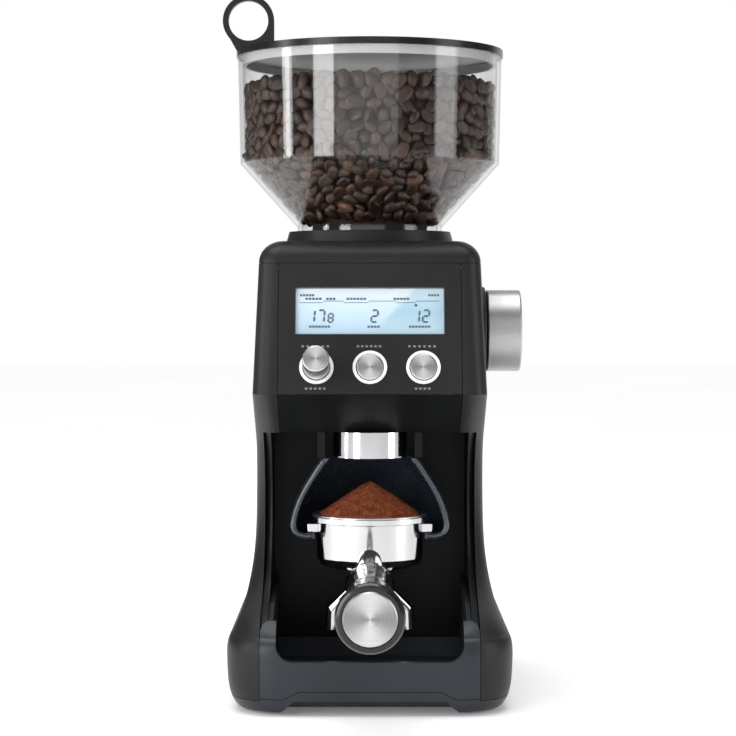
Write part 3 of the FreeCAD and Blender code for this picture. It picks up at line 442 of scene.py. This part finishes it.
def drop_bean(place, normal, press):
    """Adds one bean with its flatter side near the surface that normal points away from."""
    length = rng.uniform(9.2, 11.6) * MM
    shape, faces = bean_shape(length, length * rng.uniform(0.66, 0.74), length * rng.uniform(0.5, 0.58))
    facing = Vector(normal).to_track_quat("Z", "X").to_matrix()
    spin = Matrix.Rotation(rng.uniform(0, 2 * math.pi), 3, "Z")
    flip = Matrix.Rotation(math.pi if rng.random() < 0.45 else 0, 3, "X")
    lean = Matrix.Rotation(rng.gauss(0, 0.35), 3, "X") @ Matrix.Rotation(rng.gauss(0, 0.3), 3, "Y")
    turn = facing @ lean @ spin @ flip
    spread = [turn @ v for v in shape]
    reach = max(v.dot(normal) for v in spread)
    origin = Vector(place) - Vector(normal) * (reach + press)
    start = len(bean_verts)
    bean_verts.extend(origin + v for v in spread)
    bean_faces.extend(tuple(start + i for i in face) for face in faces)
    tone = min(1, max(0, rng.gauss(0.38, 0.22)))
    bean_tones.extend([tone] * len(shape))


def fill_wall(depth, row_pitch, gap):
    """Rows of beans against the hopper's wall, depth inside it."""
    z = CONE_LOW_Z + 3 * MM
    while z < BEAN_TOP_Z - 2.5 * MM:
        radius = wall_radius(z) - depth
        slope = CONE_LOW_Z < z < CONE_TOP_Z
        out = Vector((0.74, 0, -0.67)) if slope else Vector((1, 0, 0))
        count = max(8, int(2 * math.pi * radius / gap))
        offset = rng.random()
        for n in range(count):
            angle = 2 * math.pi * (n + offset + rng.uniform(-0.22, 0.22)) / count
            around = Matrix.Rotation(angle, 3, "Z")
            height = z + rng.uniform(-1.2, 1.2) * MM
            edge = wall_radius(height) - depth
            place = around @ Vector((edge, 0, 0)) + Vector((hopper_axis.x, hopper_axis.y, height))
            drop_bean(place, around @ out, rng.uniform(0.3, 0.9) * MM)
        z += row_pitch * (0.72 if slope else 1)


def fill_top(gap):
    """A loose layer on top, a little higher in the middle."""
    reach = 63 * MM
    steps = int(reach / gap)
    for i in range(-steps, steps + 1):
        for j in range(-steps, steps + 1):
            x = (i + 0.5 * (j % 2)) * gap + rng.uniform(-1, 1) * MM
            y = j * gap * 0.87 + rng.uniform(-1, 1) * MM
            away = math.hypot(x, y)
            if away > reach:
                continue
            z = BEAN_TOP_Z + 1.5 * MM + 2.5 * MM * (1 - away / reach) + rng.uniform(-0.6, 0.6) * MM
            drop_bean((hopper_axis.x + x, hopper_axis.y + y, z), Vector((0, 0, 1)), 0)


fill_wall(0, 6.2 * MM, 8.2 * MM)
fill_wall(5.4 * MM, 8.0 * MM, 9.0 * MM)
fill_top(8.0 * MM)
beans = new_piece("beans", bean_verts, bean_faces, bean_material(), "hopper", "coffee_bean")
roast = beans.data.attributes.new("roast", "FLOAT", "POINT")
roast.data.foreach_set("value", bean_tones)


def lathe(profile, axis, segments=96):
    """Verts and faces of a surface of revolution about a vertical axis through (radius, height) points."""
    verts, faces = [], []
    for radius, z in profile:
        for n in range(segments):
            angle = 2 * math.pi * n / segments
            verts.append(Vector((axis.x + radius * math.cos(angle), axis.y + radius * math.sin(angle), z)))
    for i in range(len(profile) - 1):
        for n in range(segments):
            k = (n + 1) % segments
            faces.append((i * segments + n, i * segments + k, (i + 1) * segments + k, (i + 1) * segments + n))
    faces.append(tuple(reversed(range(segments))))
    faces.append(tuple((len(profile) - 1) * segments + n for n in range(segments)))
    return verts, faces


core_profile = [
    (NECK_IN - 6 * MM, CONE_LOW_Z - 3 * MM),
    (NECK_IN - 6 * MM, CONE_LOW_Z + 2 * MM),
    (CONE_IN - 9 * MM, CONE_TOP_Z),
    (CONE_IN - 9 * MM, BEAN_TOP_Z - 7 * MM),
    (2 * MM, BEAN_TOP_Z - 5 * MM),
]
new_piece("bean_mass", *lathe(core_profile, hopper_axis, 48), slots["coffee_bean"], "hopper", "coffee_bean")
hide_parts("coffee_beans")

# --- ground coffee --------------------------------------------------------------------------

outlet = middle("outlet_tube")
BASKET_TOP_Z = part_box("filter_basket")[1][2]
HEAP_TOP_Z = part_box("ground_coffee")[1][2]
HEAP_RADIUS = 27 * MM


def grounds_material():
    """Speckled reddish brown crumbs."""
    paint = Paint("coffee_grounds")
    speck = paint.noise(1500, 3, 0.7)
    clump = paint.noise(260, 3)
    specks = [(0.3, (0.07, 0.014, 0.005)), (0.52, (0.30, 0.062, 0.017)), (0.72, (0.62, 0.19, 0.06))]
    base = paint.ramp(speck, specks)
    mixed = paint.node("Mix", {"Factor": paint.between(clump, 0, 0.45), 6: base, 7: (0.18, 0.036, 0.010, 1)},
                       data_type="RGBA")
    paint.set(Base_Color=mixed.outputs[2], Roughness=0.95)
    paint.set(Normal=paint.bump(speck, 0.8, 0.0006, paint.bump(clump, 0.6, 0.001)))
    return paint.material


def mound_height(r):
    """Height of the heap over the rim at a distance r from its axis."""
    peak = HEAP_TOP_Z - BASKET_TOP_Z
    t = min(1, r / HEAP_RADIUS)
    return peak * (1.003 - math.sqrt(t * t + 0.006))


RINGS, SPOKES = 52, 132
HEAP_LOW_RADIUS = 25 * MM
mound_verts, mound_faces = [], []
for i in range(RINGS + 1):
    r = 27.2 * MM * (i / RINGS)
    for j in range(SPOKES):
        a = 2 * math.pi * j / SPOKES
        x, y = r * math.cos(a), r * math.sin(a)
        spot = Vector((x, y, 0))
        rough = noise.fractal(spot * 260, 0.8, 2.0, 4) * 0.9 * MM + noise.noise(spot * 900) * 0.45 * MM
        fade = min(1, (RINGS - i) / 6)
        z = BASKET_TOP_Z + 0.1 * MM + mound_height(r) + rough * fade
        mound_verts.append(Vector((outlet.x + x, outlet.y + y, z)))
for i in range(RINGS):
    for j in range(SPOKES):
        k = (j + 1) % SPOKES
        mound_faces.append((i * SPOKES + j, (i + 1) * SPOKES + j, (i + 1) * SPOKES + k, i * SPOKES + k))
bottom = len(mound_verts)
for j in range(SPOKES):
    a = 2 * math.pi * j / SPOKES
    low_x, low_y = HEAP_LOW_RADIUS * math.cos(a), HEAP_LOW_RADIUS * math.sin(a)
    mound_verts.append(Vector((outlet.x + low_x, outlet.y + low_y, BASKET_TOP_Z - 4 * MM)))
for j in range(SPOKES):
    k = (j + 1) % SPOKES
    mound_faces.append((RINGS * SPOKES + j, bottom + j, bottom + k, RINGS * SPOKES + k))
mound_faces.append(tuple(bottom + j for j in reversed(range(SPOKES))))
CRUMBS = 2600
SPIN_SPAN = 6.28
for n in range(CRUMBS):
    r = HEAP_RADIUS * math.sqrt(rng.random())
    a = rng.uniform(0, 2 * math.pi)
    size = rng.uniform(0.25, 0.62) * MM
    at = Vector((outlet.x + r * math.cos(a), outlet.y + r * math.sin(a),
                 BASKET_TOP_Z + 0.2 * MM + mound_height(r) + size * 0.3))
    spin = rng.uniform(0, SPIN_SPAN)
    turn = Matrix.Rotation(spin, 3, Vector((rng.gauss(0, 1), rng.gauss(0, 1), rng.gauss(0, 1))))
    start = len(mound_verts)
    for corner in ((1, 1, 1), (-1, -1, 1), (-1, 1, -1), (1, -1, -1)):
        mound_verts.append(at + turn @ Vector(corner) * size * rng.uniform(0.5, 0.9))
    for face in ((0, 1, 2), (0, 3, 1), (0, 2, 3), (1, 3, 2)):
        mound_faces.append(tuple(start + i for i in face))
crumbly = grounds_material()
grounds = new_piece("grounds_heap", mound_verts, mound_faces, crumbly, "portafilter", "ground_coffee")
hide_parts("ground_coffee")

# --- display -----------------------------------------------------------------------------

glass = middle("display_window")
DISPLAY_W, DISPLAY_H = 79 * MM, 25.7 * MM
INK_LOW, INK_HIGH = -1.33 * MM, -1.2 * MM


def on_panel(x, up, out):
    """A point from the middle of the display window, in the panel's own directions."""
    return glass + Vector((x, 0, 0)) + PANEL_UP * up + PANEL_OUT * out


def flat_prism(outline, out_low, out_high):
    """A thin plate on the panel from a counter-clockwise outline of (x, up) points."""
    count = len(outline)
    verts = [on_panel(x, up, out_low) for x, up in outline] + [on_panel(x, up, out_high) for x, up in outline]
    faces = [tuple(reversed(range(count))), tuple(range(count, 2 * count))]
    for n in range(count):
        k = (n + 1) % count
        faces.append((n, k, count + k, count + n))
    return verts, faces


class Plates:
    """Many small plates gathered into one piece."""

    def __init__(self):
        self.verts, self.faces = [], []

    def add(self, verts, faces):
        """Adds one plate's verts and faces."""
        start = len(self.verts)
        self.verts += verts
        self.faces += [tuple(start + i for i in face) for face in faces]

    def bar(self, x0, x1, up0, up1, low, high):
        """A rectangular plate."""
        self.add(*flat_prism([(x0, up0), (x1, up0), (x1, up1), (x0, up1)], low, high))


def rounded(width, height, radius, steps=6):
    """Outline of a rounded rectangle about the origin."""
    points = []
    for cx, cy, start in ((1, -1, -90), (1, 1, 0), (-1, 1, 90), (-1, -1, 180)):
        for n in range(steps + 1):
            a = math.radians(start + 90 * n / steps)
            points.append((cx * (width / 2 - radius) + radius * math.cos(a),
                           cy * (height / 2 - radius) + radius * math.sin(a)))
    return points


def screen_material():
    """A pale blue lit panel with a painted reflection: whiter towards the upper left, with a slanting edge to
    the reflected part.
    """
    paint = Paint("lit_screen")
    frame_of_screen = paint.node("Mapping", {"Vector": paint.coords, "Location": tuple(-c for c in glass)})
    flat = paint.node("Mapping", {"Vector": frame_of_screen.outputs[0], "Rotation": (PANEL_TILT, 0, 0)})
    parts = paint.node("SeparateXYZ", {"Vector": flat.outputs[0]})
    lean = paint.node("Math", {0: parts.outputs["Z"], 1: 0.9}, operation="MULTIPLY").outputs[0]
    across = paint.node("Math", {0: lean, 1: parts.outputs["X"]}, operation="SUBTRACT").outputs[0]
    # painted reflection: beyond a slanting edge the upper left gets a whiter colour, which also glows in the
    # emission
    painted_reflection_mask = paint.between(across, 0.0, 1.0, -0.0145, -0.0105)
    depth = paint.between(parts.outputs["Z"], 0.0, 1.0, -0.012, 0.0125)
    reflection_stops = [(0.0, (0.42, 0.60, 0.74)), (0.55, (0.56, 0.72, 0.84)), (1.0, (0.72, 0.80, 0.86))]
    unreflected_stops = [(0.0, (0.42, 0.60, 0.70)), (0.5, (0.34, 0.54, 0.66)), (1.0, (0.52, 0.66, 0.76))]
    # left carries the painted reflection's colour; right is the screen's own colour, darker in the middle and
    # lighter at the top
    left = paint.ramp(depth, reflection_stops)
    right = paint.ramp(depth, unreflected_stops)
    tone = paint.node("Mix", {"Factor": painted_reflection_mask, 6: right, 7: left}, data_type="RGBA")
    grain = paint.noise(3000, 1)
    paint.set(Base_Color=tone.outputs[2], Emission_Color=tone.outputs[2])
    paint.set(Roughness=paint.between(grain, 0.35, 0.5))
    paint.shader.inputs["Emission Strength"].default_value = 0.12
    return paint.material


screen = Plates()
screen.add(*flat_prism(rounded(DISPLAY_W, DISPLAY_H, 0.8 * MM), -1.7 * MM, -1.35 * MM))
new_piece("screen_face", screen.verts, screen.faces, screen_material(), "housing", "display_panel", False)

SEGMENTS = {"1": "bc", "2": "abged", "7": "abc", "8": "abcdefg"}


def segment(plates, kind, x, up, width, height, thick):
    """One bevelled bar of a seven-segment figure with its lower left corner at (x, up)."""
    upright = {"f": (0, 1), "b": (1, 1), "e": (0, 0), "c": (1, 0)}
    half, gap, lean = thick / 2, thick * 0.12, 0.08
    if kind in upright:
        side, tier = upright[kind]
        cx = x + half + side * (width - thick)
        low = up + half + tier * (height - thick) / 2 + gap
        high = low + (height - thick) / 2 - 2 * gap
        points = [(cx, low), (cx + half, low + half), (cx + half, high - half),
                  (cx, high), (cx - half, high - half), (cx - half, low + half)]
    else:
        tier = {"a": 1, "g": 0.5, "d": 0}[kind]
        cy = up + half + tier * (height - thick)
        low, high = x + half + gap, x + width - half - gap
        points = [(low, cy), (low + half, cy - half), (high - half, cy - half),
                  (high, cy), (high - half, cy + half), (low + half, cy + half)]
    points = [(px + (py - up) * lean, py) for px, py in points]
    plates.add(*flat_prism(points, INK_LOW, INK_HIGH))


figures = Plates()


FIGURE_GAP = 0.9


def number(text, x, up, width, height, thick):
    """Figures side by side, sizes in millimetres."""
    for figure in text:
        for kind in SEGMENTS[figure]:
            segment(figures, kind, x * MM, up * MM, width * MM, height * MM, thick * MM)
        x += width + FIGURE_GAP


number("17", -33.6, -6.3, 4.3, 7.6, 1.05)
number("8", -22.8, -6.3, 3.3, 5.6, 0.85)
number("2", 0.1, -6.3, 4.3, 7.6, 1.05)
number("12", 22.3, -6.3, 4.3, 7.6, 1.05)
# a stepped scale along the top, from x, to x, and 1 for its upper level
SCALE_UP, SCALE_STEP, SCALE_THICK = 4.9, 0.9, 0.28
SCALE = ((-37.6, -25, 0), (-25, -14, 1), (-14, -0.5, 0), (-0.5, 14, 1), (14, 24.5, 0), (24.5, 37.4, 1))
for x0, x1, step in SCALE:
    base = SCALE_UP + SCALE_STEP * step
    figures.bar(x0 * MM, x1 * MM, base * MM, (base + SCALE_THICK) * MM, INK_LOW, INK_HIGH)

# captions as rows of plain bars: from x, to x, height on the screen and number of bars
CAPTION_TALL, CAPTION_FILL = 1.15, 0.78
CAPTIONS = (
    (-37.4, -29.4, 8.6, 5), (31.2, 37.4, 8.6, 4), (-34.5, -25.4, 6.6, 5), (-23.4, -18, 6.6, 3),
    (-12.5, -1.6, 6.6, 6), (12.6, 21.4, 6.6, 5), (-32.4, -20.9, -8.9, 7), (-1.3, 5.6, -8.9, 4),
    (20.8, 32.6, -8.9, 7),
)
for x0, x1, up, count in CAPTIONS:
    pitch = (x1 - x0) / count
    for n in range(count):
        left = x0 + n * pitch
        right = left + pitch * CAPTION_FILL
        figures.bar(left * MM, right * MM, up * MM, (up + CAPTION_TALL) * MM, INK_LOW, INK_HIGH)

# the pointer under the scale, a small diamond
POINTER_X, POINTER_UP = 24.6, 3.6
DIAMOND = ((0, -1), (1.0, 0), (0, 1), (-1.0, 0))
pointer = [((POINTER_X + dx) * MM, (POINTER_UP + dy) * MM) for dx, dy in DIAMOND]
figures.add(*flat_prism(pointer, INK_LOW, INK_HIGH))
ink = moulded("display_ink", (0.045, 0.085, 0.12), 0.5, 0.1)
new_piece("display_figures", figures.verts, figures.faces, ink, "housing", "display_panel", False)

# --- printed marks round the buttons ----------------------------------------------------

marks = Plates()
button_up = (middle("button_rings") - glass).dot(PANEL_UP)
PANEL_SKIN = 1.05 * MM
MARK_LEVEL, MARK_HALF, MARK_LONG, MARK_PITCH, MARK_THICK = 11.6, 0.55, 1.35, 1.15, 0.06
# button x, half length of the row above it and of the row below it
for x, above, below in ((-28.3, 8, 6), (0, 7, 0), (28.3, 8, 4.6)):
    for level, half in ((MARK_LEVEL, above), (-MARK_LEVEL, below)):
        count = int(half / MARK_PITCH)
        for n in range(count):
            left = x - half + n * 2 * half / count
            low_up = button_up + (level - MARK_HALF) * MM
            high_up = button_up + (level + MARK_HALF) * MM
            marks.bar(left * MM, (left + MARK_LONG) * MM, low_up, high_up,
                      PANEL_SKIN, PANEL_SKIN + MARK_THICK * MM)
print_grey = moulded("printed_marks", (0.17, 0.17, 0.17), 0.6, 0.1)
new_piece("panel_marks", marks.verts, marks.faces, print_grey, "housing", "white_ring", False)
